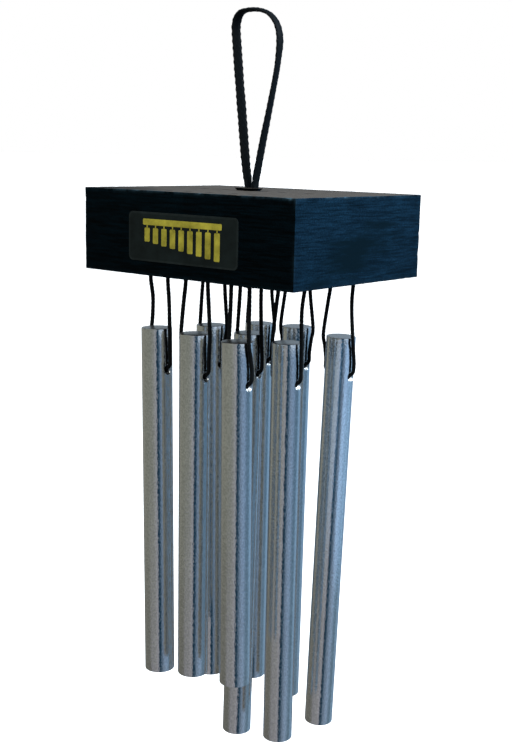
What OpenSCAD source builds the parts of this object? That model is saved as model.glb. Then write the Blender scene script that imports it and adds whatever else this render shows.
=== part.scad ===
// Block wind chime: nine solid bars hung on cords under a wooden block, which hangs on a cord loop.
// Millimetres, +Z up, X along the block's long side. The origin is where a hook bears under the top of
// the loop, so everything hangs below it.

/* [Block] */
// Length of the block, along X
block_l = 105; // [95:1:130]
// Depth of the block, along Y
block_w = 79; // [76:1:110]
// Height of the block
block_h = 32; // [24:1:45]

/* [Bars] */
// Diameter of each bar
bar_d = 12; // [9:0.5:12]
// Distance between bars along X
pitch_x = 20.5; // [19.5:0.5:24]
// Distance between bars along Y
pitch_y = 31; // [26:1:31]
// Diameter of the cross hole near the top of each bar
eye_d = 2.5; // [2.2:0.1:3]
// Distance from a bar's top down to its cross hole
eye_drop = 16; // [10:1:25]
// Width of the countersink around each mouth of the cross hole
eye_chamfer = 0.9; // [0.8:0.1:1.2]
// Chamfer on the ends of each bar
end_chamfer = 0.3; // [0.2:0.1:1]

/* [Bar cords] */
// Diameter of each bar's cord
cord_d = 1.4; // [1:0.1:1.4]
// Distance between the two strands of a cord beside the bar, just above its cross hole
strand_spread = 14.2; // [14:0.2:15]
// Diameter of the holes in the block for the strands
strand_hole_d = 2; // [1.8:0.1:2.2]
// Diameter of the pocket in the block's top for the knot at a strand's end
pocket_d = 4; // [3.8:0.1:4.2]
// Depth of that pocket
pocket_depth = 4.5; // [4:0.5:8]

/* [Hanging loop] */
// Diameter of the loop's cord
loop_cord_d = 2.5; // [2:0.1:2.5]
// Height inside the loop, from the block's top to where the hook bears
loop_h = 66.5; // [66.5:0.5:66.5]
// Distance between the loop's two strands where they enter the block
loop_gap = 3; // [2.8:0.1:3.2]
// Diameter of the hole in the block for the loop
loop_hole_d = 6.2; // [6.2:0.1:6.4]

/* [Label] */
// Length of the label
label_l = 55; // [30:1:80]
// Height of the label
label_h = 18.5; // [10:0.5:22]
// Thickness of the label
label_t = 0.3; // [0.2:0.1:1]
// Radius of the label's corners
label_r = 2; // [1:0.5:4]
// Height of the label's middle below the block's top
label_drop = 17.3; // [14:0.1:18]

/* [Hidden] */
$fn = 64;
// Every bar: its name, column (-1 left, 1 right, and a fraction more or less for a bar that hangs to one side
// of its place), row (-1 front, 1 back), length, the distance from the block's underside down to its top, its
// lean in degrees about the middle of that top (its foot towards +X), and its left and right strands. A strand is three places, each how far out from the bar's axis and how far
// back: at the block, halfway down to the bar's top, and at that top.
BARS = [
    ["front_left", -1.025, -1, 141, 21, 1.1,
        [[4.1, 0.8], [4.9, 2.8], [6.9, 4.2]], [[5.9, 0], [6.6, 0], [7.4, -0.4]]],
    ["front_centre", -0.03, -1, 137, 21, 0.3,
        [[5.2, 0], [6.2, 0], [7.3, 0]], [[6.2, 0], [6.8, 0], [7.5, 0]]],
    ["front_right", 1, -1, 133.5, 21.5, 0.8,
        [[4.1, 0.8], [5.7, 2.4], [6.9, 3.2]], [[5.4, 0], [5.7, -0.3], [6.9, -1.6]]],
    ["middle_left", -1, 0, 151, 23, 0.95,
        [[4.6, 0], [5.5, 0.2], [6.9, 0.9]], [[6.9, 0], [7.4, 0.2], [7.4, 1.4]]],
    ["middle_centre", 0, 0, 172, 24, -0.85,
        [[4.9, 0], [5.4, 0], [6.9, 0.8]], [[5.8, 0], [5.8, 0], [6.9, -0.7]]],
    ["middle_right", 0.95, 0, 166, 25.5, 0.1,
        [[4.7, 0], [6, 0], [6.9, -0.7]], [[8, 0], [6.7, 0], [7.6, -0.8]]],
    ["back_left", -1, 1, 162, 25.5, 0,
        [[6.3, 0], [6, 0], [6.9, 0.2]], [[6, 0], [6.7, 0], [7.6, 1]]],
    ["back_centre", 0, 1, 165.5, 24.5, -0.3,
        [[5.2, 0], [6.9, 0], [7.9, -0.9]], [[5.8, 0], [6.8, 0], [7.6, 1.2]]],
    ["back_right", 1.12, 1, 170.8, 26, -1.65,
        [[6.15, 0.8], [7.35, 0.2], [9, 0]], [[5.15, 0], [4.65, 0], [6.9, -1.6]]],
];

// The loop's route, as X and height above the block's top: up one side, over the hook and down the other.
LOOP_ROUTE = [
    [-1.7, 0.4], [-2.3, 4], [-3.2, 8.9], [-4.2, 15.9], [-5.8, 28.8], [-7.6, 42.7], [-9.1, 55.6], [-9.6, 60.1],
    [-9.6, 62.7], [-8.8, 65.3], [-7.1, 67.1], [-4.4, 67.75], [0, 67.75], [4, 67], [7.4, 65.4], [10.2, 62.5],
    [11.7, 59], [12.1, 55.1], [11.7, 50.6], [10.8, 44.5], [8, 31.8], [5.2, 19.9], [2.8, 8.9], [1.8, 4], [1.6, 0.4]
];
TUBE_SIDES = 8;
SWING_CLEAR = 0.7; // below the block, so that a swinging strand's end stays clear of it
CORD_BEND_R = 2.4; // where a strand turns into the bar's cross hole
CORD_BEND_STEPS = 4;
HANG_CLEAR = 0.1; // between the cord and the top of the cross hole that rides on it
KNOT_CLEAR = 0.05; // between a knot and the face that it bears on
KNOT_D = 3.2; // the knots at the strands' ends
KNOT_H = 2.4;
KNOT_RIM = 0.3; // a knot's chamfer, as a share of its height
CORD_STUB = 1; // what is left of a strand above its knot
LOOP_KNOT_D = 8; // the stopper knot under the block
LOOP_KNOT_H = 5;
CUT = 1; // how far a cutting shape runs past the face that it opens

block_top = -loop_h;
block_bottom = block_top - block_h;
cord_lift = (eye_d - cord_d) / 2 - HANG_CLEAR; // the cord's centre above the cross hole's

function bar_place(b) = [b[1] * pitch_x, b[2] * pitch_y, block_bottom];

// A place beside a plumb bar, given from the block's underside, moved with the bar as it leans.
function leaning(b, p) = let(lean = b[5], z = p[2] + b[4])
    [p[0] * cos(lean) - z * sin(lean), p[1], p[0] * sin(lean) + z * cos(lean) - b[4]];

// One strand from the block down to the cross hole, and the bend into it. side is -1 or 1.
function strand(b, side) = let(
        drop = b[4],
        places = b[side < 0 ? 6 : 7],
        at_block = places[0],
        halfway = places[1],
        at_top = places[2],
        wide_x = strand_spread / 2,
        floor_z = cord_lift - drop - eye_drop,
        bend_x = wide_x - CORD_BEND_R
    ) concat(
        [
            [side * at_block[0], at_block[1], -SWING_CLEAR],
            [side * at_block[0], at_block[1], -3],
            [side * halfway[0], halfway[1], -drop / 2],
            leaning(b, [side * at_top[0], at_top[1], -drop]),
            leaning(b, [side * (at_top[0] + wide_x) / 2, at_top[1] / 2, -drop - 5]),
            leaning(b, [side * wide_x, 0, -drop - 10])
        ],
        [
            for (i = [0:CORD_BEND_STEPS]) let(a = 90 * i / CORD_BEND_STEPS)
                leaning(b, [side * (bend_x + CORD_BEND_R * cos(a)), 0, floor_z + CORD_BEND_R * (1 - sin(a))])
        ]
    );

function reversed(list) = [for (i = [len(list) - 1:-1:0]) list[i]];

// A round tube along a route that never runs along Y.
module tube(route, d) {
    last = len(route) - 1;
    points = [
        for (i = [0:last]) let(
            ahead = route[min(i + 1, last)] - route[max(i - 1, 0)],
            along = ahead / norm(ahead),
            across = cross(along, [0, 1, 0]),
            u = across / norm(across),
            v = cross(along, u)
        )
        for (k = [0:TUBE_SIDES - 1]) let(a = 360 * k / TUBE_SIDES)
            route[i] + d / 2 * (cos(a) * u + sin(a) * v)
    ];
    sides = [
        for (i = [0:last - 1], k = [0:TUBE_SIDES - 1]) let(
            next = (k + 1) % TUBE_SIDES,
            a = i * TUBE_SIDES + k,
            b = i * TUBE_SIDES + next
        )
        each [[a, b, b + TUBE_SIDES], [a, b + TUBE_SIDES, a + TUBE_SIDES]]
    ];
    first_cap = [for (k = [TUBE_SIDES - 1:-1:0]) k];
    last_cap = [for (k = [0:TUBE_SIDES - 1]) last * TUBE_SIDES + k];
    polyhedron(points, concat(sides, [first_cap, last_cap]));
}

// A knot: a disc of diameter d and height h with a chamfered rim, standing on Z = 0.
module knot(d, h) {
    rim = h * KNOT_RIM;
    rotate_extrude() polygon([[0, 0], [d / 2 - rim, 0], [d / 2, rim], [d / 2, h - rim], [d / 2 - rim, h], [0, h]]);
}

module at_strand_ends(b) {
    for (side = [-1, 1]) let(place = b[side < 0 ? 6 : 7][0])
        translate(bar_place(b) + [side * place[0], place[1], 0]) children();
}

module block() {
    color([0.05, 0.09, 0.13]) difference() {
        translate([-block_l / 2, -block_w / 2, block_bottom]) cube([block_l, block_w, block_h]);
        translate([0, 0, block_bottom - CUT]) cylinder(d = loop_hole_d, h = block_h + 2 * CUT);
        for (b = BARS) at_strand_ends(b) {
            translate([0, 0, -CUT]) cylinder(d = strand_hole_d, h = block_h + 2 * CUT);
            translate([0, 0, block_h - pocket_depth]) cylinder(d = pocket_d, h = pocket_depth + CUT);
        }
    }
}

module label() {
    x = label_l / 2 - label_r;
    z = label_h / 2 - label_r;
    color([0.2, 0.22, 0.2]) translate([0, -block_w / 2, block_top - label_drop]) rotate([90, 0, 0]) {
        linear_extrude(label_t) union() {
            square([2 * x, label_h], center = true);
            square([label_l, 2 * z], center = true);
            for (sx = [-1, 1], sz = [-1, 1]) translate([sx * x, sz * z]) circle(r = label_r);
        }
    }
}

module hanging_loop() {
    color([0.03, 0.03, 0.04]) tube([for (p = LOOP_ROUTE) [p[0], 0, block_top + p[1]]], loop_cord_d);
}

module loop_knot() {
    color([0.03, 0.03, 0.04]) {
        for (side = [-1, 1]) translate([side * loop_gap / 2, 0, block_bottom - LOOP_KNOT_H / 2])
            cylinder(d = loop_cord_d, h = block_h + LOOP_KNOT_H / 2);
        translate([0, 0, block_bottom - LOOP_KNOT_H - 4 * KNOT_CLEAR]) knot(LOOP_KNOT_D, LOOP_KNOT_H);
    }
}

module bar(b) {
    length = b[3];
    r = bar_d / 2;
    mouth_r = eye_d / 2 + eye_chamfer + CUT;
    color([0.72, 0.74, 0.76]) translate(bar_place(b) + [0, 0, -b[4]]) rotate([0, -b[5], 0]) difference() {
        rotate_extrude() polygon([
            [0, 0], [r - end_chamfer, 0], [r, -end_chamfer],
            [r, end_chamfer - length], [r - end_chamfer, -length], [0, -length]
        ]);
        translate([0, 0, -eye_drop]) rotate([0, 90, 0]) {
            cylinder(d = eye_d, h = bar_d + 2 * CUT, center = true);
            for (turn = [0, 180]) rotate([turn, 0, 0]) translate([0, 0, r - eye_chamfer])
                cylinder(r1 = eye_d / 2, r2 = mouth_r, h = eye_chamfer + CUT);
        }
    }
}

module bar_cord(b) {
    lowest = leaning(b, [0, 0, cord_lift - b[4] - eye_drop]);
    color([0.04, 0.04, 0.05]) translate(bar_place(b))
        tube(concat(strand(b, -1), [lowest], reversed(strand(b, 1))), cord_d);
}

module cord_ends(b) {
    color([0.04, 0.04, 0.05]) at_strand_ends(b) {
        cylinder(d = cord_d, h = block_h - pocket_depth + KNOT_CLEAR + KNOT_H + CORD_STUB);
        translate([0, 0, block_h - pocket_depth + KNOT_CLEAR]) knot(KNOT_D, KNOT_H);
    }
}

block();
label();
hanging_loop();
loop_knot();
for (b = BARS) {
    bar(b);
    bar_cord(b);
    cord_ends(b);
}
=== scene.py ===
"""Looks for a block wind chime: a painted block on a cord loop, with nine solid aluminium bars on cords."""
import math

import bmesh
import bpy
from mathutils import Matrix, Vector, noise


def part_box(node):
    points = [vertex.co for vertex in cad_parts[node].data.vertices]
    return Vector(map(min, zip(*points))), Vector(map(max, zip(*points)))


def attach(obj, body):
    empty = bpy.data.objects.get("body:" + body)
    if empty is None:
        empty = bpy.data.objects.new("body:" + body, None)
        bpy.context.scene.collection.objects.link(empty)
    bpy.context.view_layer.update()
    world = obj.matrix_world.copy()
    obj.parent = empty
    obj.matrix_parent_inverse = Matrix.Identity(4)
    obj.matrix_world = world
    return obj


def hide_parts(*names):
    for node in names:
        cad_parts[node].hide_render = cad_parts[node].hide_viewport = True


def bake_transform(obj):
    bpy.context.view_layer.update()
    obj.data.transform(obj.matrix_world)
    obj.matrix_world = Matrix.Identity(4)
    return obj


MM = 0.001
UP = Vector((0, 0, 1))

# The camera, as angles round the object in degrees and a place in metres.
CAMERA_AZIMUTH = 39.667
CAMERA_ELEVATION = 11.099
CAMERA_ROLL = 1.248
CAMERA_PLACE = (0.28992, -0.34444, -0.05136)
CAMERA_LENS = 54.76

# Every bar, in millimetres: its column (-1 left, 1 right, and a fraction more or less for a bar that hangs to
# one side of its place), row (-1 front, 1 back), length, the distance from the block's underside down to its
# top, its lean in degrees about the middle of that top (its foot towards +X), and its left and right strands.
# A strand is three places, each how far out from the bar's axis and how far back: at the block, halfway down
# to the bar's top, and at that top.
BARS = {
    "front_left": (
        -1.025, -1, 141, 21, 1.1, ((4.1, 0.8), (4.9, 2.8), (6.9, 4.2)), ((5.9, 0), (6.6, 0), (7.4, -0.4))),
    "front_centre": (
        -0.03, -1, 137, 21, 0.3, ((5.2, 0), (6.2, 0), (7.3, 0)), ((6.2, 0), (6.8, 0), (7.5, 0))),
    "front_right": (
        1, -1, 133.5, 21.5, 0.8, ((4.1, 0.8), (5.7, 2.4), (6.9, 3.2)), ((5.4, 0), (5.7, -0.3), (6.9, -1.6))),
    "middle_left": (
        -1, 0, 151, 23, 0.95, ((4.6, 0), (5.5, 0.2), (6.9, 0.9)), ((6.9, 0), (7.4, 0.2), (7.4, 1.4))),
    "middle_centre": (
        0, 0, 172, 24, -0.85, ((4.9, 0), (5.4, 0), (6.9, 0.8)), ((5.8, 0), (5.8, 0), (6.9, -0.7))),
    "middle_right": (
        0.95, 0, 166, 25.5, 0.1, ((4.7, 0), (6, 0), (6.9, -0.7)), ((8, 0), (6.7, 0), (7.6, -0.8))),
    "back_left": (
        -1, 1, 162, 25.5, 0, ((6.3, 0), (6, 0), (6.9, 0.2)), ((6, 0), (6.7, 0), (7.6, 1))),
    "back_centre": (
        0, 1, 165.5, 24.5, -0.3, ((5.2, 0), (6.9, 0), (7.9, -0.9)), ((5.8, 0), (6.8, 0), (7.6, 1.2))),
    "back_right": (
        1.12, 1, 170.8, 26, -1.65, ((6.15, 0.8), (7.35, 0.2), (9, 0)), ((5.15, 0), (4.65, 0), (6.9, -1.6))),
}
PITCH_X = 20.5  # from one bar to the next along the block
PITCH_Y = 31  # and across it
BAR_D = 12
CORD_D = 1.4
CORD_FULLNESS = 1.18  # how much fuller the braid looks than its nominal diameter
CORD_UNEVEN = 0.07
STRAND_SPREAD = 14.2  # between the two strands beside the bar
STRAND_HOLE_D = 2
POCKET_D = 4  # the pocket for each knot in the block's top
POCKET_DEPTH = 4.5
CORD_BEND_R = 2.4  # where a strand turns into the bar's cross hole
CORD_BEND_STEPS = 4
CORD_IN_HOLE = 5  # how far a cord's swinging piece reaches up into the block

# The bars' cross holes and ends, in millimetres.
EYE_D = 2.5
EYE_DROP = 16  # from the bar's top down to its cross hole
EYE_CHAMFER = 0.9
END_CHAMFER = 0.3
CORD_LIFT = 0.45  # the cord's centre above the cross hole's

# The hanging loop, in millimetres: its route as X and height above the block's top, and how far the
# flattened cord is turned there, in degrees.
LOOP_GAP = 3  # between its two strands where they enter the block
LOOP_HOLE_D = 6.2
LOOP_IN_HOLE = 4  # how far the loop's own piece reaches into the block
LOOP_ROUTE = [
    (-1.7, 0.4, -60), (-2.3, 4, -52), (-3.2, 8.9, -46), (-4.2, 15.9, -42), (-5.8, 28.8, -40),
    (-7.6, 42.7, -40), (-9.1, 55.6, -40), (-9.6, 60.1, -42), (-9.6, 62.7, -48), (-8.8, 65.3, -62),
    (-7.1, 67.1, -78), (-4.4, 67.75, -88), (0, 67.75, -90), (4, 67, -90), (7.4, 65.4, -90),
    (10.2, 62.5, -93), (11.7, 59, -94), (12.1, 55.1, -93), (11.7, 50.6, -87), (10.8, 44.5, -82),
    (8, 31.8, -88), (5.2, 19.9, -96), (2.8, 8.9, -102), (1.8, 4, -104), (1.6, 0.4, -104),
]
LOOP_HALF_WIDTH = 1.88  # of the flattened cord
LOOP_HALF_DEPTH = 0.85
LOOP_TIGHT_HALF_WIDTH = 1.5  # where the loop's two strands squeeze into their hole
LOOP_SQUEEZE = 6  # the height over which they do
TAIL_HALF_WIDTHS = (1.2, 1.0)  # of its two ends inside the block

# The braids' plaits, as their pitch in millimetres and how many run round the cord.
BAR_CORD_BRAID = (3.2, 4)
LOOP_BRAID = (5.2, 6)

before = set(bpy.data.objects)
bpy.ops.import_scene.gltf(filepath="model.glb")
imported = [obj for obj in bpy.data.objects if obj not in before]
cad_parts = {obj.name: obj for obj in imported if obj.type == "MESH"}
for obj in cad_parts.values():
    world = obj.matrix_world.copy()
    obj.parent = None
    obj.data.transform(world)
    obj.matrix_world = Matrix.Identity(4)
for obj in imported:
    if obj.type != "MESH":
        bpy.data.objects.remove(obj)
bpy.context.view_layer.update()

block_low, block_high = (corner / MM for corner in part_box("block"))
BLOCK_TOP = block_high.z
BLOCK_BOTTOM = block_low.z


# ---------------------------------------------------------------- camera

def add_camera():
    azimuth, elevation, roll = (math.radians(a) for a in (CAMERA_AZIMUTH, CAMERA_ELEVATION, CAMERA_ROLL))
    back = Vector((
        math.sin(azimuth) * math.cos(elevation),
        -math.cos(azimuth) * math.cos(elevation),
        math.sin(elevation),
    ))
    level = Vector((math.cos(azimuth), math.sin(azimuth), 0))
    upward = back.cross(level)
    right = level * math.cos(roll) + upward * math.sin(roll)
    top = upward * math.cos(roll) - level * math.sin(roll)
    data = bpy.data.cameras.new("camera")
    data.lens = CAMERA_LENS
    data.clip_start = 0.01
    camera = bpy.data.objects.new("camera", data)
    turn = Matrix((right, top, back)).transposed().to_4x4()
    camera.matrix_world = Matrix.Translation(CAMERA_PLACE) @ turn
    bpy.context.scene.collection.objects.link(camera)
    bpy.context.scene.camera = camera


# ---------------------------------------------------------------- mesh helpers, in millimetres

def make_object(name, bm, materials=(), smooth_angle=35):
    """Turns a bmesh in millimetres into an object in metres, smooth but for edges sharper than the angle."""
    bmesh.ops.recalc_face_normals(bm, faces=bm.faces)
    bmesh.ops.scale(bm, vec=(MM, MM, MM), verts=bm.verts)
    mesh = bpy.data.meshes.new(name)
    bm.to_mesh(mesh)
    bm.free()
    for face in mesh.polygons:
        face.use_smooth = True
    mesh.set_sharp_from_angle(angle=math.radians(smooth_angle))
    for mat in materials:
        mesh.materials.append(mat)
    made = bpy.data.objects.new(name, mesh)
    bpy.context.scene.collection.objects.link(made)
    return made


def smooth_route(points, step):
    """Points a step apart on a Catmull-Rom curve through the given ones, each of any number of values."""
    rows = [Vector(p) for p in points]
    rows = [rows[0] * 2 - rows[1]] + rows + [rows[-1] * 2 - rows[-2]]
    made = []
    for a, b, c, d in zip(rows, rows[1:], rows[2:], rows[3:]):
        count = max(1, round((c - b).length / step))
        for i in range(count):
            t = i / count
            made.append(0.5 * (
                2 * b + (c - a) * t + (2 * a - 5 * b + 4 * c - d) * t**2 + (3 * b - a - 3 * c + d) * t**3
            ))
    return made + [rows[-2]]


def braid(pitch, plaits, depth):
    """Relief of a braided cord: a factor on its radius, from the distance along it and the angle round it."""
    def relief(along, angle):
        turn = 2 * math.pi * along / pitch
        bump = abs(math.sin(plaits * angle / 2 + turn)) * abs(math.sin(plaits * angle / 2 - turn))
        return 1 - depth * (1 - bump)
    return relief


def sweep(bm, route, sides, radii, relief, facing=Vector((0, 1, 0))):
    """A closed tube along a route. radii(i) gives the half-widths and the turn of ring i, and facing is the
    direction that the rings' turn is measured from."""
    rings = []
    along = 0
    across = None
    last = len(route) - 1
    for i, point in enumerate(route):
        ahead = (route[min(i + 1, last)] - route[max(i - 1, 0)]).normalized()
        across = facing if across is None else across
        across = (across - ahead * across.dot(ahead)).normalized()
        other = ahead.cross(across)
        if i:
            along += (point - route[i - 1]).length
        wide, thin, turn = radii(i)
        ring = []
        for k in range(sides):
            angle = 2 * math.pi * k / sides
            factor = relief(along, angle)
            a = wide * math.cos(angle) * factor
            b = thin * math.sin(angle) * factor
            x = a * math.cos(turn) - b * math.sin(turn)
            y = a * math.sin(turn) + b * math.cos(turn)
            ring.append(bm.verts.new(point + across * y + other * x))
        rings.append(ring)
    for low, high in zip(rings, rings[1:]):
        for k in range(sides):
            bm.faces.new((low[k], low[k - 1], high[k - 1], high[k]))
    for ring in (rings[0], rings[-1]):
        bm.faces.new(ring)


def revolve(bm, profile, sides, place=Matrix.Identity(4)):
    """A closed solid of revolution about Z from (radius, height) points that start and end on the axis."""
    rings = []
    for radius, height in profile:
        count = sides if radius > 0 else 1
        rings.append([
            bm.verts.new(place @ Vector((
                radius * math.cos(2 * math.pi * k / sides),
                radius * math.sin(2 * math.pi * k / sides),
                height,
            )))
            for k in range(count)
        ])
    for low, high in zip(rings, rings[1:]):
        for k in range(sides):
            corners = [ring[j % len(ring)] for ring, j in ((low, k), (low, k - 1), (high, k - 1), (high, k))]
            bm.faces.new([v for i, v in enumerate(corners) if v not in corners[:i]])


def carve(target, cutter):
    """Cuts the cutter's shape out of the target and removes the cutter."""
    cut = target.modifiers.new("cut", "BOOLEAN")
    cut.object = cutter
    cut.operation = "DIFFERENCE"
    cut.solver = "EXACT"
    bpy.context.view_layer.update()
    mesh = bpy.data.meshes.new_from_object(target.evaluated_get(bpy.context.evaluated_depsgraph_get()))
    target.modifiers.clear()
    target.data = mesh
    bpy.data.objects.remove(cutter)


# ---------------------------------------------------------------- material helpers

def new_material(name):
    mat = bpy.data.materials.new(name)
    mat.use_nodes = True
    return mat, mat.node_tree, mat.node_tree.nodes["Principled BSDF"]


def node(tree, kind, inputs=(), **settings):
    """Adds a node. Each input is (its name or number, a value or another node's output)."""
    made = tree.nodes.new("ShaderNode" + kind)
    for key, value in settings.items():
        setattr(made, key, value)
    for key, value in inputs:
        if isinstance(value, bpy.types.NodeSocket):
            tree.links.new(value, made.inputs[key])
        else:
            made.inputs[key].default_value = value
    return made


def place_mm(tree, stretch=(1, 1, 1)):
    """The place on the object in millimetres, stretched by a factor along each axis."""
    coords = node(tree, "TexCoord").outputs["Object"]
    return node(tree, "Mapping", [("Vector", coords), ("Scale", [f / MM for f in stretch])]).outputs[0]


def noise_of(tree, vector, scale, detail=2.0, rough=0.5, distortion=0.0):
    made = node(tree, "TexNoise", [
        ("Vector", vector), ("Scale", scale), ("Detail", detail), ("Roughness", rough),
        ("Distortion", distortion),
    ])
    return made.outputs["Fac"]


def ramp(tree, factor, stops):
    """A colour or grey for each factor: stops are (position, grey or colour)."""
    made = node(tree, "ValToRGB", [("Fac", factor)])
    elements = made.color_ramp.elements
    while len(elements) < len(stops):
        elements.new(0.5)
    for element, (position, value) in zip(elements, stops):
        element.position = position
        element.color = (value, value, value, 1) if isinstance(value, (int, float)) else (*value, 1)
    return made.outputs["Color"]


def mixed(tree, factor, a, b, blend="MIX"):
    made = node(tree, "Mix", data_type="RGBA", blend_type=blend)
    for key, value in ((0, factor), (6, a), (7, b)):
        if isinstance(value, bpy.types.NodeSocket):
            tree.links.new(value, made.inputs[key])
        else:
            made.inputs[key].default_value = value if key == 0 else (*value, 1)
    return made.outputs[2]


def calc(tree, operation, *values):
    made = node(tree, "Math", list(enumerate(values)), operation=operation)
    return made.outputs[0]


def bump(tree, shader, layers):
    """Chains bumps into the shader's normal: each layer is (height, strength, depth in millimetres)."""
    normal = None
    for height, strength, depth in layers:
        inputs = [("Height", height), ("Strength", strength), ("Distance", depth * MM)]
        if normal is not None:
            inputs.append(("Normal", normal))
        normal = node(tree, "Bump", inputs).outputs[0]
    tree.links.new(normal, shader.inputs["Normal"])


# ---------------------------------------------------------------- materials

# The stain on the block's right-hand end, in millimetres along Y and Z
STAIN_MIDDLE = (-2, -86)
STAIN_SIZE = (28, 9.5)
STAIN_RISE = 0.24  # its slope, up towards the back
STAIN_COLOUR = (0.0018, 0.0090, 0.0150)
# the top's dust colour also carries a painted grey sheen, for the light the top catches at a grazing angle
DUST_AND_SHEEN_COLOUR = (0.116, 0.101, 0.090)
BARE_EDGE_COLOUR = (0.050, 0.100, 0.140)
FACING = 0.7  # a normal's share along an axis, above which a face counts as facing that way


def paint_material():
    """Thin dark paint on wood: near black and streaked, with a lighter blue painted on both sawn ends for the
    cool light there, painted shade towards the bottom, worn edges, and dust with a painted grey sheen on top.
    """
    mat, tree, shader = new_material("painted_wood")
    place = place_mm(tree)
    apart = node(tree, "SeparateXYZ", [(0, place)])
    facing = node(tree, "SeparateXYZ", [(0, node(tree, "TexCoord").outputs["Normal"])])
    flat = calc(tree, "GREATER_THAN", calc(tree, "ABSOLUTE", facing.outputs[2]), FACING)
    # painted light: faces along X, the two ends, get the lighter blue paint below, standing in for the cool
    # light on the right-hand end
    end = calc(tree, "GREATER_THAN", calc(tree, "ABSOLUTE", facing.outputs[0]), FACING)

    streaks_side = noise_of(tree, place_mm(tree, (0.09, 0.09, 1.5)), 1.0, 6, 0.68, 0.1)
    streaks_top = noise_of(tree, place_mm(tree, (0.05, 0.9, 0.5)), 1.0, 5, 0.6, 0.15)
    streaks = mixed(tree, flat, streaks_side, streaks_top)
    blotches = noise_of(tree, place, 0.075, 4, 0.6)
    speckle = noise_of(tree, place, 1.7, 3, 0.65)

    dark = ramp(tree, streaks, [(0.38, (0.0001, 0.0009, 0.0014)), (0.62, (0.0007, 0.0050, 0.0080))])
    # painted light: a lighter, bluer copy of the paint, for the two ends
    painted_lit_blue = ramp(tree, streaks, [(0.38, (0.0018, 0.0098, 0.0190)), (0.62, (0.0060, 0.0258, 0.0500))])
    grain_and_painted_lit_ends = mixed(tree, end, dark, painted_lit_blue)
    shade = ramp(tree, blotches, [(0.3, 0.76), (0.5, 0.96), (0.7, 1.16)])
    colour = mixed(tree, 1.0, grain_and_painted_lit_ends, shade, "MULTIPLY")
    # painted shade: the paint darkens towards the block's underside, standing in for the shade there
    height = calc(tree, "SUBTRACT", apart.outputs[2], BLOCK_BOTTOM)
    height = calc(tree, "DIVIDE", height, BLOCK_TOP - BLOCK_BOTTOM)
    rise = ramp(tree, height, [(0.0, 0.80), (0.35, 0.97), (1.0, 1.0)])
    colour = mixed(tree, 1.0, colour, rise, "MULTIPLY")
    dots = ramp(tree, speckle, [(0.36, 0.66), (0.5, 1.0), (0.66, 1.42)])
    colour = mixed(tree, 1.0, colour, dots, "MULTIPLY")

    # the stain: dark strokes over a soft ellipse on the face at the highest X
    along = calc(tree, "SUBTRACT", apart.outputs[1], STAIN_MIDDLE[0])
    off = calc(tree, "SUBTRACT", apart.outputs[2], STAIN_MIDDLE[1])
    dy = calc(tree, "DIVIDE", along, STAIN_SIZE[0])
    dz = calc(tree, "DIVIDE", calc(tree, "MULTIPLY_ADD", along, -STAIN_RISE, off), STAIN_SIZE[1])
    squares = calc(tree, "ADD", calc(tree, "MULTIPLY", dy, dy), calc(tree, "MULTIPLY", dz, dz))
    away = calc(tree, "SQRT", squares)
    strokes = noise_of(tree, place_mm(tree, (0.1, 0.055, 0.42)), 1.0, 5, 0.6, 0.3)
    ragged = calc(tree, "MULTIPLY_ADD", strokes, -2.6, calc(tree, "ADD", away, 1.3))
    stained = ramp(tree, ragged, [(0.35, 1.0), (1.0, 0.0)])
    on_end = calc(tree, "GREATER_THAN", apart.outputs[0], block_high.x - 2)
    stained = calc(tree, "MULTIPLY", calc(tree, "MULTIPLY", stained, on_end), 0.95)
    colour = mixed(tree, stained, colour, STAIN_COLOUR)

    # dust on the top, with a painted grey sheen: the light the top catches at a grazing angle, painted into
    # its colour
    top = calc(tree, "GREATER_THAN", facing.outputs[2], FACING)
    dust_and_sheen = ramp(tree, noise_of(tree, place, 0.30, 5, 0.7), [(0.3, 0.55), (0.6, 0.95)])
    # less of it towards the corner at the lowest X and Y
    along_x = calc(tree, "DIVIDE", apart.outputs[0], block_high.x)
    along_y = calc(tree, "DIVIDE", apart.outputs[1], block_high.y)
    across = calc(tree, "ADD", calc(tree, "ADD", along_x, along_y), 1.5)
    across = calc(tree, "MULTIPLY_ADD", noise_of(tree, place, 0.08, 4, 0.6), 0.9, across)
    dust_and_sheen = calc(tree, "MULTIPLY", dust_and_sheen, ramp(tree, across, [(0.35, 0.34), (0.95, 1.0)]))
    colour = mixed(tree, calc(tree, "MULTIPLY", top, dust_and_sheen), colour, DUST_AND_SHEEN_COLOUR)

    # worn edges
    wear = node(tree, "Attribute", attribute_name="wear").outputs["Fac"]
    patches = ramp(tree, noise_of(tree, place, 0.16, 5, 0.75), [(0.40, 0.0), (0.60, 1.0)])
    colour = mixed(tree, calc(tree, "MULTIPLY", wear, patches), colour, BARE_EDGE_COLOUR)
    tree.links.new(colour, shader.inputs["Base Color"])

    rough = ramp(tree, mixed(tree, 0.4, streaks, speckle), [(0.3, 0.50), (0.7, 0.68)])
    tree.links.new(rough, shader.inputs["Roughness"])
    shader.inputs["Specular IOR Level"].default_value = 0.02
    bump(tree, shader, [(streaks, 0.55, 0.10), (speckle, 0.40, 0.08)])
    return mat


def film_material(name, colour, rough):
    """Printed vinyl film, with faint mottling."""
    mat, tree, shader = new_material(name)
    place = place_mm(tree)
    mottle = noise_of(tree, place, 0.14, 6, 0.7)
    shade = ramp(tree, mottle, [(0.34, 0.60), (0.66, 1.30)])
    base = mixed(tree, 1.0, tuple(colour), shade, "MULTIPLY")
    tree.links.new(base, shader.inputs["Base Color"])
    roughness = ramp(tree, mottle, [(0.3, rough - 0.06), (0.7, rough + 0.08)])
    tree.links.new(roughness, shader.inputs["Roughness"])
    shader.inputs["Specular IOR Level"].default_value = 0.1
    bump(tree, shader, [(noise_of(tree, place, 0.25, 2), 0.3, 0.1)])
    return mat


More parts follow.
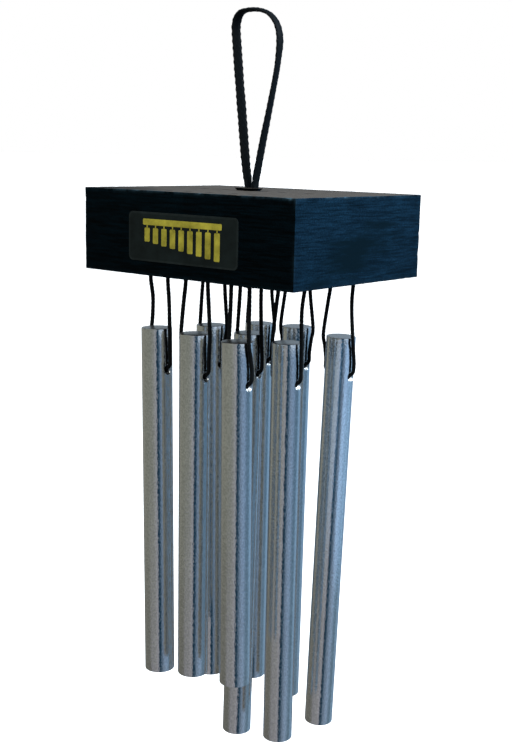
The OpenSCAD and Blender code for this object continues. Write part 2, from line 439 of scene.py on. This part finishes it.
def cord_material(name, colour, sheen_tint):
    """Black synthetic cord: fine fibres along it, and a soft sheen."""
    mat, tree, shader = new_material(name)
    fibres = noise_of(tree, place_mm(tree, (6, 6, 1.5)), 1.0, 3, 0.6)
    tone = mixed(tree, 1.0, tuple(colour), ramp(tree, fibres, [(0.3, 0.5), (0.7, 1.6)]), "MULTIPLY")
    tree.links.new(tone, shader.inputs["Base Color"])
    shader.inputs["Roughness"].default_value = 0.6
    shader.inputs["Specular IOR Level"].default_value = 0.1
    shader.inputs["Sheen Weight"].default_value = 0.02
    shader.inputs["Sheen Roughness"].default_value = 0.4
    shader.inputs["Sheen Tint"].default_value = (*sheen_tint, 1)
    bump(tree, shader, [(fibres, 0.5, 0.05)])
    return mat


def metal_material(name, polish, relief):
    """Satin aluminium: lines along the bar, fine speckle, small smudges. Polish is what comes off its
    roughness, and relief is the height of its speckle in millimetres."""
    mat, tree, shader = new_material(name)
    place = place_mm(tree)
    speckle = noise_of(tree, place_mm(tree, (1, 1, 0.8)), 1.5, 1, 0.5)
    lines = noise_of(tree, place_mm(tree, (1.3, 1.3, 0.008)), 1.0, 2, 0.6)
    smudge = noise_of(tree, place_mm(tree, (0.16, 0.16, 0.05)), 1.0, 3, 0.6)
    tone = ramp(tree, smudge, [(0.3, (0.75, 0.76, 0.76)), (0.7, (0.81, 0.82, 0.82))])
    dots = ramp(tree, speckle, [(0.3, 0.86), (0.7, 1.08)])
    tree.links.new(mixed(tree, 1.0, tone, dots, "MULTIPLY"), shader.inputs["Base Color"])
    shader.inputs["Metallic"].default_value = 1.0
    mix_rough = mixed(tree, 0.35, speckle, smudge)
    rough = ramp(tree, mix_rough, [(0.3, 0.12 - polish), (0.7, 0.18 - polish)])
    tree.links.new(rough, shader.inputs["Roughness"])
    bump(tree, shader, [(speckle, 1.0, relief), (lines, 0.6, 0.02)])
    return mat


# ---------------------------------------------------------------- bar cords

def bar_frame(name):
    """A bar's own frame in millimetres: its origin at the middle of the bar's top, Z up along the bar."""
    column, row, _, drop, lean = BARS[name][:5]
    top = Vector((column * PITCH_X, row * PITCH_Y, BLOCK_BOTTOM - drop))
    return Matrix.Translation(top) @ Matrix.Rotation(math.radians(-lean), 4, "Y")


def strand_exit(name, side):
    """Where a strand leaves the block's underside, in millimetres."""
    column, row = BARS[name][:2]
    out, back = BARS[name][5 if side < 0 else 6][0]
    return Vector((column * PITCH_X + side * out, row * PITCH_Y + back, BLOCK_BOTTOM))


def strand(name, side):
    """One strand's route from inside the block down to the bend into the bar's cross hole, in millimetres."""
    column, row, _, drop = BARS[name][:4]
    _, halfway, at_top = BARS[name][5 if side < 0 else 6]
    leaving = strand_exit(name, side)
    middle = Vector((
        column * PITCH_X + side * halfway[0], row * PITCH_Y + halfway[1], BLOCK_BOTTOM - drop / 2,
    ))
    wide_x = STRAND_SPREAD / 2
    floor_z = CORD_LIFT - EYE_DROP
    bend_x = wide_x - CORD_BEND_R
    beside = [(*at_top, 0), ((at_top[0] + wide_x) / 2, at_top[1] / 2, -5), (wide_x, 0, -10)]
    for i in range(CORD_BEND_STEPS + 1):
        a = math.radians(90 * i / CORD_BEND_STEPS)
        beside.append((bend_x + CORD_BEND_R * math.cos(a), 0, floor_z + CORD_BEND_R * (1 - math.sin(a))))
    turned = bar_frame(name)
    return [leaving + UP * CORD_IN_HOLE, leaving, leaving - UP * 3, middle] + [
        turned @ Vector((side * x, y, z)) for x, y, z in beside
    ]


def add_bar_cord(name, mat):
    lowest = bar_frame(name) @ Vector((0, 0, CORD_LIFT - EYE_DROP))
    route = smooth_route(strand(name, -1) + [lowest] + strand(name, 1)[::-1], 0.3)
    bm = bmesh.new()

    def uneven(i):
        wander = noise.noise(Vector((i * 0.06, lowest.x, lowest.y)))
        radius = CORD_D / 2 * (CORD_FULLNESS + CORD_UNEVEN * wander)
        return radius, radius, 0

    sweep(bm, route, 16, uneven, braid(*BAR_CORD_BRAID, 0.10))
    cord = make_object("cord_" + name + "_braid", bm, [mat], 80)
    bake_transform(cord)
    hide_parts("cord_" + name)


def barrel_knot(bm, foot, radius, outer, height, turns, relief):
    """The wraps of a tight barrel knot: a coil round the cord, whose ends tuck in."""
    steps = round(turns * 28)
    route = []
    for i in range(steps + 1):
        share = i / steps
        angle = 2 * math.pi * turns * share
        tuck = min(1, 6 * share, 6 * (1 - share))
        reach = (outer - radius) * (0.35 + 0.65 * tuck)
        rise = radius + (height - 2 * radius) * share
        route.append(foot + Vector((reach * math.cos(angle), reach * math.sin(angle), rise)))
    sweep(bm, route, 12, lambda i: (radius, radius, 0), relief, facing=UP)


def add_cord_ends(name, mat):
    """The two ends of a bar's cord in the block, each with its knot in the pocket and a cut end above it."""
    bm = bmesh.new()
    radius = CORD_D / 2
    relief = braid(*BAR_CORD_BRAID, 0.12)
    pocket_floor = BLOCK_TOP - POCKET_DEPTH
    for side in (-1, 1):
        foot = strand_exit(name, side)
        foot.z = 0
        lean = Vector((0.25 * side, 0.2, 0))
        route = smooth_route([
            foot + UP * (BLOCK_BOTTOM + CORD_IN_HOLE - 1), foot + UP * (BLOCK_BOTTOM + 15),
            foot + UP * pocket_floor, foot + UP * (pocket_floor + 2),
            foot + lean + UP * (pocket_floor + 3.4),
        ], 0.6)
        sweep(bm, route, 12, lambda i: (radius, radius, 0), relief)
        barrel_knot(bm, foot + UP * (pocket_floor + 0.05), radius * 0.8, 1.6, 2.4, 2.1, relief)
    ends = make_object("cord_ends_" + name + "_knots", bm, [mat], 80)
    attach(ends, "block")
    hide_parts("cord_ends_" + name)


# ---------------------------------------------------------------- hanging loop

def add_loop(mat):
    points = [(x, 0, BLOCK_TOP + z, math.radians(turn)) for x, z, turn in LOOP_ROUTE]
    for end in (0, -1):
        x, y, _, turn = points[end]
        inside = (x, y, BLOCK_TOP - LOOP_IN_HOLE, turn)
        points.insert(0 if end == 0 else len(points), inside)
    rows = smooth_route(points, 0.4)
    route = [Vector(row[:3]) for row in rows]
    bm = bmesh.new()

    def flattened(i):
        uneven = noise.noise(Vector((i * 0.05, 3, 0)))
        share = min(1, max(0, (rows[i][2] - BLOCK_TOP) / LOOP_SQUEEZE))
        wide = LOOP_TIGHT_HALF_WIDTH + (LOOP_HALF_WIDTH - LOOP_TIGHT_HALF_WIDTH) * share
        return wide + 0.12 * uneven, LOOP_HALF_DEPTH + 0.08 * uneven, rows[i][3]

    sweep(bm, route, 28, flattened, braid(*LOOP_BRAID, 0.13))
    loop = make_object("hanging_loop_braid", bm, [mat], 80)
    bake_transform(loop)
    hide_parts("hanging_loop")


def add_loop_knot(mat):
    """The loop's two ends through the block, and the stopper knot under it."""
    bm = bmesh.new()
    relief = braid(*LOOP_BRAID, 0.13)
    for side in (-1, 1):
        x = side * LOOP_GAP / 2
        route = smooth_route([
            (x, 0, BLOCK_TOP - LOOP_IN_HOLE + 1), (x, 0, BLOCK_BOTTOM + 6), (x, 0, BLOCK_BOTTOM),
            (x * 0.9, 0.3 * side, BLOCK_BOTTOM - 3), (x * 1.3, 0.8 * side, BLOCK_BOTTOM - 6),
        ], 0.6)
        sweep(bm, route, 20, lambda i: (*TAIL_HALF_WIDTHS, 0), relief)
    barrel_knot(bm, UP * (BLOCK_BOTTOM - 5.2), TAIL_HALF_WIDTHS[0], 4.0, 5.0, 2.1, relief)
    knot = make_object("loop_stopper_knot", bm, [mat], 80)
    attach(knot, "loop_tail")
    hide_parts("loop_knot")


# ---------------------------------------------------------------- bars

def add_bar(name, mat, cut_mat):
    """A solid bar with a countersunk cross hole. Its ends and hole have the finish of cut metal."""
    length = BARS[name][2]
    turned = bar_frame(name)
    r = BAR_D / 2
    c = END_CHAMFER
    round_off = [(r - c, 0), (r - c * 0.45, c * 0.12), (r - c * 0.12, c * 0.45), (r, c)]
    steps = 8
    low = EYE_DROP + 6
    profile = [(0, 0)] + [(x, -z) for x, z in round_off]
    profile += [(r, -z) for z in (6, EYE_DROP - 6, EYE_DROP - 3, EYE_DROP + 3, low)]
    profile += [(r, -low - (length - 4 - low) * i / steps) for i in range(1, steps + 1)]
    profile += [(x, z - length) for x, z in round_off[::-1]] + [(0, -length)]
    bm = bmesh.new()
    revolve(bm, profile[::-1], 96, turned)
    bar = make_object("bar_" + name + "_metal", bm, [mat, cut_mat])
    drill = bmesh.new()
    hole = EYE_D / 2
    mouth = hole + EYE_CHAMFER
    shape = [
        (0, -r - 1), (mouth + 1, -r - 1), (mouth, -r), (hole, -r + EYE_CHAMFER), (hole, r - EYE_CHAMFER),
        (mouth, r), (mouth + 1, r + 1), (0, r + 1),
    ]
    across = Matrix.Translation((0, 0, -EYE_DROP)) @ Matrix.Rotation(math.radians(90), 4, "Y")
    revolve(drill, shape, 40, turned @ across)
    carve(bar, make_object("drill", drill))
    back = turned.inverted()
    for face in bar.data.polygons:
        at = back @ (face.center / MM)
        face.use_smooth = True
        face.material_index = 0 if math.hypot(at.x, at.y) > r * 0.985 else 1
    bar.data.set_sharp_from_angle(angle=math.radians(30))
    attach(bar, "bar_" + name)
    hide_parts("bar_" + name)


# ---------------------------------------------------------------- block and label

def edge_steps(half):
    """Places across a face of the block: fine at the edges, about 1 mm apart between them."""
    fine = [0, 0.14, 0.3, 0.5, 0.8, 1.2]
    inner = half - fine[-1]
    count = round(2 * inner / 1.15)
    middle = [-inner + 2 * inner * i / count for i in range(1, count)]
    return [-half + f for f in fine] + middle + [half - f for f in fine[::-1]]


def add_block(mat):
    size = block_high - block_low
    centre = (block_high + block_low) / 2
    half = size / 2
    steps = [edge_steps(h) for h in half]
    bm = bmesh.new()
    made = {}

    def vertex(i, j, k):
        if (i, j, k) not in made:
            made[i, j, k] = bm.verts.new((steps[0][i], steps[1][j], steps[2][k]))
        return made[i, j, k]

    for axis in range(3):
        a, b = [n for n in range(3) if n != axis]
        for end in (0, len(steps[axis]) - 1):
            for p in range(len(steps[a]) - 1):
                for q in range(len(steps[b]) - 1):
                    corners = []
                    for dp, dq in ((0, 0), (1, 0), (1, 1), (0, 1)):
                        index = [end, end, end]
                        index[a] = p + dp
                        index[b] = q + dq
                        corners.append(vertex(*index))
                    bm.faces.new(corners)
    wear_layer = bm.verts.layers.float.new("wear")
    for v in bm.verts:
        v.co, v[wear_layer] = worn(v.co.copy(), half)
        v.co += centre
    block = make_object("block_wood", bm, [mat], 50)

    cutter = bmesh.new()
    through = BLOCK_BOTTOM - 1
    above = BLOCK_TOP + 1
    lip = 0.15
    r = LOOP_HOLE_D / 2
    hole = [
        (0, through), (r + lip + 1, through), (r + lip, BLOCK_BOTTOM - 0.001), (r, BLOCK_BOTTOM + lip),
        (r, BLOCK_TOP - lip), (r + lip, BLOCK_TOP), (r + lip + 1, above), (0, above),
    ]
    revolve(cutter, hole, 48)
    r = STRAND_HOLE_D / 2
    pocket_r = POCKET_D / 2
    pocket_floor = BLOCK_TOP - POCKET_DEPTH
    hole = [
        (0, through), (r + 1.2, through), (r + 0.2, BLOCK_BOTTOM - 0.001), (r, BLOCK_BOTTOM + 0.2),
        (r, pocket_floor), (pocket_r, pocket_floor), (pocket_r, BLOCK_TOP - 0.2),
        (pocket_r + 0.2, BLOCK_TOP), (pocket_r + 1.2, above), (0, above),
    ]
    for name in BARS:
        for side in (-1, 1):
            place = strand_exit(name, side)
            revolve(cutter, hole, 28, Matrix.Translation((place.x, place.y, 0)))
    carve(block, make_object("cutter", cutter))
    block.data.set_sharp_from_angle(angle=math.radians(50))
    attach(block, "block")
    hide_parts("block")


def worn(p, half):
    """Moves a point of the plain block in to its rounded, chipped edges, and says how worn it is, 0 to 1."""
    soft = 0.42 + 0.22 * noise.noise(p * 0.12)
    nick = noise.noise(p * 0.33 + Vector((7, 3, 1)))
    fine = noise.noise(p * 1.1)
    chip = max(0, nick + 0.25 * fine - 0.34) * 2.2
    radius = soft + min(chip, 0.55)
    inner = Vector([max(-h + radius, min(h - radius, c)) for c, h in zip(p, half)])
    out = p - inner
    near = sorted(h - abs(c) for c, h in zip(p, half))
    close = max(0, 1 - near[1] / 1.3)
    if out.length > radius:
        p = inner + out.normalized() * radius
    hollow = 0.05 * noise.noise(p * 0.05) + 0.015 * noise.noise(p * 0.4)
    sink = min(0.06 - hollow, 0.12)
    p = Vector([c - math.copysign(sink, c) if abs(c) > h - 0.02 else c for c, h in zip(p, half)])
    high = min(1, max(0.2, 1 - (half.z - p.z) / 3))
    return p, min(1, close * high * (0.45 + 1.6 * chip))


def rounded(width, height, radius, steps=6):
    """Corner points of a rounded rectangle round the origin, counter-clockwise."""
    points = []
    for turn, (sx, sz) in enumerate(((1, 1), (-1, 1), (-1, -1), (1, -1))):
        for i in range(steps + 1):
            a = math.radians(90 * (turn + i / steps))
            points.append((
                sx * (width / 2 - radius) + radius * math.cos(a),
                sz * (height / 2 - radius) + radius * math.sin(a),
            ))
    return points


def slab(bm, outline_rows, centre, front, materials):
    """A thin solid on the block's front, from rows of (outline, how far it stands out), back row first."""
    rows = [
        [bm.verts.new((centre.x + x, front - out, centre.z + z)) for x, z in outline]
        for outline, out in outline_rows
    ]
    for row, (low, high) in enumerate(zip(rows, rows[1:])):
        for k in range(len(low)):
            face = bm.faces.new((low[k], low[k - 1], high[k - 1], high[k]))
            face.material_index = materials[row]
    bm.faces.new(rows[0]).material_index = materials[0]
    bm.faces.new(rows[-1]).material_index = materials[-1]


def add_label(film, rim, ink):
    """A printed film label with a plain picture of nine hanging bars."""
    low, high = (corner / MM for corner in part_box("label"))
    centre = (low + high) / 2
    size = high - low
    front = high.y
    thick = size.y - 0.05  # the film's, leaving room for the print on it
    bm = bmesh.new()
    slab(bm, [
        (rounded(size.x, size.z, 2), -0.1), (rounded(size.x, size.z, 2), thick - 0.06),
        (rounded(size.x - 0.12, size.z - 0.12, 1.95), thick),
        (rounded(size.x - 1.5, size.z - 1.5, 1.3), thick),
    ], centre, front, [1, 1, 1, 0])
    print_top = thick + 0.045
    beam_w = size.x * 0.72
    pitch = beam_w / 9

    def printed(x, z, width, height, radius):
        at = centre + Vector((x, 0, z))
        shape = rounded(width, height, radius, 3)
        slab(bm, [(shape, thick - 0.02), (shape, print_top)], at, front, [2, 2])

    printed(0, 5.6, beam_w, 2.3, 0.5)
    for i in range(9):
        x = (i - 4) * pitch
        length = 5.2 + 0.62 * i
        printed(x, 3.9, 0.55, 1.3, 0.1)
        printed(x, 3.4 - length / 2, pitch * 0.62, length, 0.45)
    label = make_object("label_film", bm, [film, rim, ink], 30)
    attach(label, "block")
    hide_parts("label")


# ---------------------------------------------------------------- floor and light

FLOOR_Z = -0.42  # metres
FLOOR_RADIUS = 60  # metres


def add_floor():
    """A plain pale floor, lit by a light of its own so that it stays pale."""
    bm = bmesh.new()
    bmesh.ops.create_circle(bm, cap_ends=True, segments=96, radius=FLOOR_RADIUS / MM)
    bmesh.ops.translate(bm, vec=(0, 0, FLOOR_Z / MM), verts=bm.verts)
    mat, tree, shader = new_material("floor")
    shader.inputs["Base Color"].default_value = (0.9, 0.9, 0.9, 1)
    shader.inputs["Roughness"].default_value = 1.0
    shader.inputs["Specular IOR Level"].default_value = 0.0
    floor = make_object("floor", bm, [mat])
    floor.visible_glossy = False
    floor.visible_diffuse = False
    only_floor = bpy.data.collections.new("only_floor")
    only_floor.objects.link(floor)
    sun = bpy.data.lights.new("floor_light", "SUN")
    sun.energy = 4.2
    sun.angle = math.radians(60)
    lamp = bpy.data.objects.new("floor_light", sun)
    lamp.rotation_euler = (math.radians(25), math.radians(-15), 0)
    bpy.context.scene.collection.objects.link(lamp)
    lamp.light_linking.receiver_collection = only_floor


def add_area(name, place, aim, size, power, colour):
    data = bpy.data.lights.new(name, "AREA")
    data.shape = "RECTANGLE"
    data.size, data.size_y = size
    data.energy = power
    data.color = colour
    lamp = bpy.data.objects.new(name, data)
    lamp.location = place
    lamp.rotation_euler = (Vector(aim) - Vector(place)).to_track_quat("-Z", "Y").to_euler()
    lamp.visible_camera = False
    bpy.context.scene.collection.objects.link(lamp)
    return lamp


def around(azimuth, distance, height):
    """A place in metres at an azimuth in degrees to the right of the camera's side."""
    angle = math.radians(CAMERA_AZIMUTH - 90 + azimuth)
    return distance * math.cos(angle), distance * math.sin(angle), height


# Where the tables of the surroundings start, in degrees to the right of the camera's side
TURN_START = -130
# What the metal reflects all round, as (degrees to the right of the camera's side, colour)
SURROUND = [
    (-130, (0.26, 0.26, 0.225)), (-100, (0.225, 0.23, 0.195)), (-40, (0.225, 0.235, 0.205)),
    (-22, (0.255, 0.265, 0.255)), (-14, (0.30, 0.30, 0.305)), (-5, (0.33, 0.345, 0.385)),
    (-1, (0.31, 0.335, 0.37)), (2, (0.004, 0.03, 0.06)), (12, (0.004, 0.03, 0.06)),
    (22, (0.09, 0.145, 0.215)), (36, (0.20, 0.285, 0.415)), (60, (0.21, 0.32, 0.49)),
    (78, (0.12, 0.205, 0.31)), (98, (0.10, 0.185, 0.28)), (118, (0.22, 0.38, 0.57)),
    (150, (0.26, 0.40, 0.59)), (175, (0.22, 0.27, 0.32)), (229, (0.26, 0.26, 0.225)),
]
# How the surroundings towards the floor differ from those, as a factor at the same angles
FLOORWARD = [
    (-130, (0.62, 0.61, 0.62)), (-78, (0.66, 0.64, 0.68)), (-54, (1.16, 1.12, 1.42)),
    (-16, (1.04, 1.0, 1.06)), (0, (0.95, 0.93, 0.92)), (40, (0.96, 0.90, 0.84)),
    (74, (1.40, 1.24, 1.12)), (98, (1.15, 1.0, 0.90)), (125, (0.9, 0.85, 0.8)), (229, (0.62, 0.61, 0.62)),
]


def round_the_room(tree, share, table):
    """A ramp by direction, from a table by angle. The share is that of a full turn from the tables' start."""
    return ramp(tree, share, [((angle - TURN_START) / 360, value) for angle, value in table])


def light_studio():
    """A pale backdrop for the eye, and a soft room of warm, dark and cool panels to light and to reflect."""
    world = bpy.data.worlds.new("studio")
    bpy.context.scene.world = world
    world.use_nodes = True
    bpy.context.scene.view_settings.view_transform = "Standard"
    tree = world.node_tree
    tree.nodes.clear()
    way = node(tree, "SeparateXYZ", [(0, node(tree, "TexCoord").outputs["Generated"])])
    turn = calc(tree, "ARCTAN2", way.outputs[1], way.outputs[0])
    start = math.radians(CAMERA_AZIMUTH - 90)
    share = calc(tree, "DIVIDE", calc(tree, "SUBTRACT", turn, start), 2 * math.pi)
    share = calc(tree, "FRACT", calc(tree, "ADD", share, 1 - TURN_START / 360))
    panels = round_the_room(tree, share, SURROUND)
    # towards the floor the panels change by their factors
    low = ramp(tree, calc(tree, "ADD", way.outputs[2], 0.5), [(0.06, 1.0), (0.22, 0.0)])
    toned = round_the_room(tree, share, FLOORWARD)
    panels = mixed(tree, low, panels, mixed(tree, 1.0, panels, toned, "MULTIPLY"))
    # the cool side is brighter from the horizon up, as a window is
    cool = round_the_room(tree, share, [(16, 0.0), (28, 1.0), (112, 1.0), (130, 0.0)])
    above = ramp(tree, calc(tree, "ADD", way.outputs[2], 0.5), [(0.42, 0.0), (0.58, 1.0)])
    panels = mixed(tree, calc(tree, "MULTIPLY", cool, above), panels, (0.62, 0.74, 0.88))
    room = node(tree, "Background", [("Color", panels), ("Strength", 1.0)])
    backdrop = node(tree, "Background", [("Color", (1, 1, 1, 1)), ("Strength", 1.0)])
    seen = node(tree, "LightPath").outputs["Is Camera Ray"]
    both = node(tree, "MixShader", [(0, seen), (1, room.outputs[0]), (2, backdrop.outputs[0])])
    node(tree, "OutputWorld", [("Surface", both.outputs[0])])
    # the bar at the back right hangs clear of the others, and catches two cool windows
    clear_bar = bpy.data.collections.new("clear_bar")
    clear_bar.objects.link(bpy.data.objects["bar_back_right_metal"])
    for name, place, aim, size, power, colour in (
        ("window", around(80, 0.35, -0.25), (0.02, 0.03, -0.22), (0.46, 0.22), 0.12, (0.42, 0.66, 1.0)),
        ("far_window", around(-28, 0.35, -0.24), (0.02, 0.03, -0.2), (0.7, 0.22), 0.11, (0.28, 0.58, 1.0)),
    ):
        lamp = add_area(name, place, aim, size, power, colour)
        lamp.light_linking.receiver_collection = clear_bar
    add_area("key", around(60, 1.1, 0.75), (0, 0, -0.12), (0.7, 0.7), 22, (0.80, 0.92, 1.0))
    add_area("fill", around(-50, 1.0, 0.95), (0, 0, -0.12), (0.8, 0.8), 13, (1.0, 1.0, 0.96))


# ---------------------------------------------------------------- the object

add_camera()
cord_black = cord_material("cord_black", (0.0028, 0.0034, 0.0040), (0.25, 0.35, 0.45))
loop_black = cord_material("loop_cord_black", (0.0022, 0.0042, 0.0060), (0.25, 0.40, 0.60))
satin = metal_material("bar_satin_aluminium", 0.0, 0.065)
cut_face = metal_material("bar_cut_aluminium", -0.14, 0.018)
for bar_name in BARS:
    add_bar_cord(bar_name, cord_black)
add_loop(loop_black)
add_loop_knot(loop_black)
for bar_name in BARS:
    add_cord_ends(bar_name, cord_black)
    add_bar(bar_name, satin, cut_face)
add_block(paint_material())
add_label(
    film_material("label_film", (0.0072, 0.0118, 0.0120), 0.55),
    film_material("label_rim", (0.0125, 0.0180, 0.0185), 0.5),
    film_material("label_ink", (0.43, 0.38, 0.048), 0.55),
)
add_floor()
light_studio()
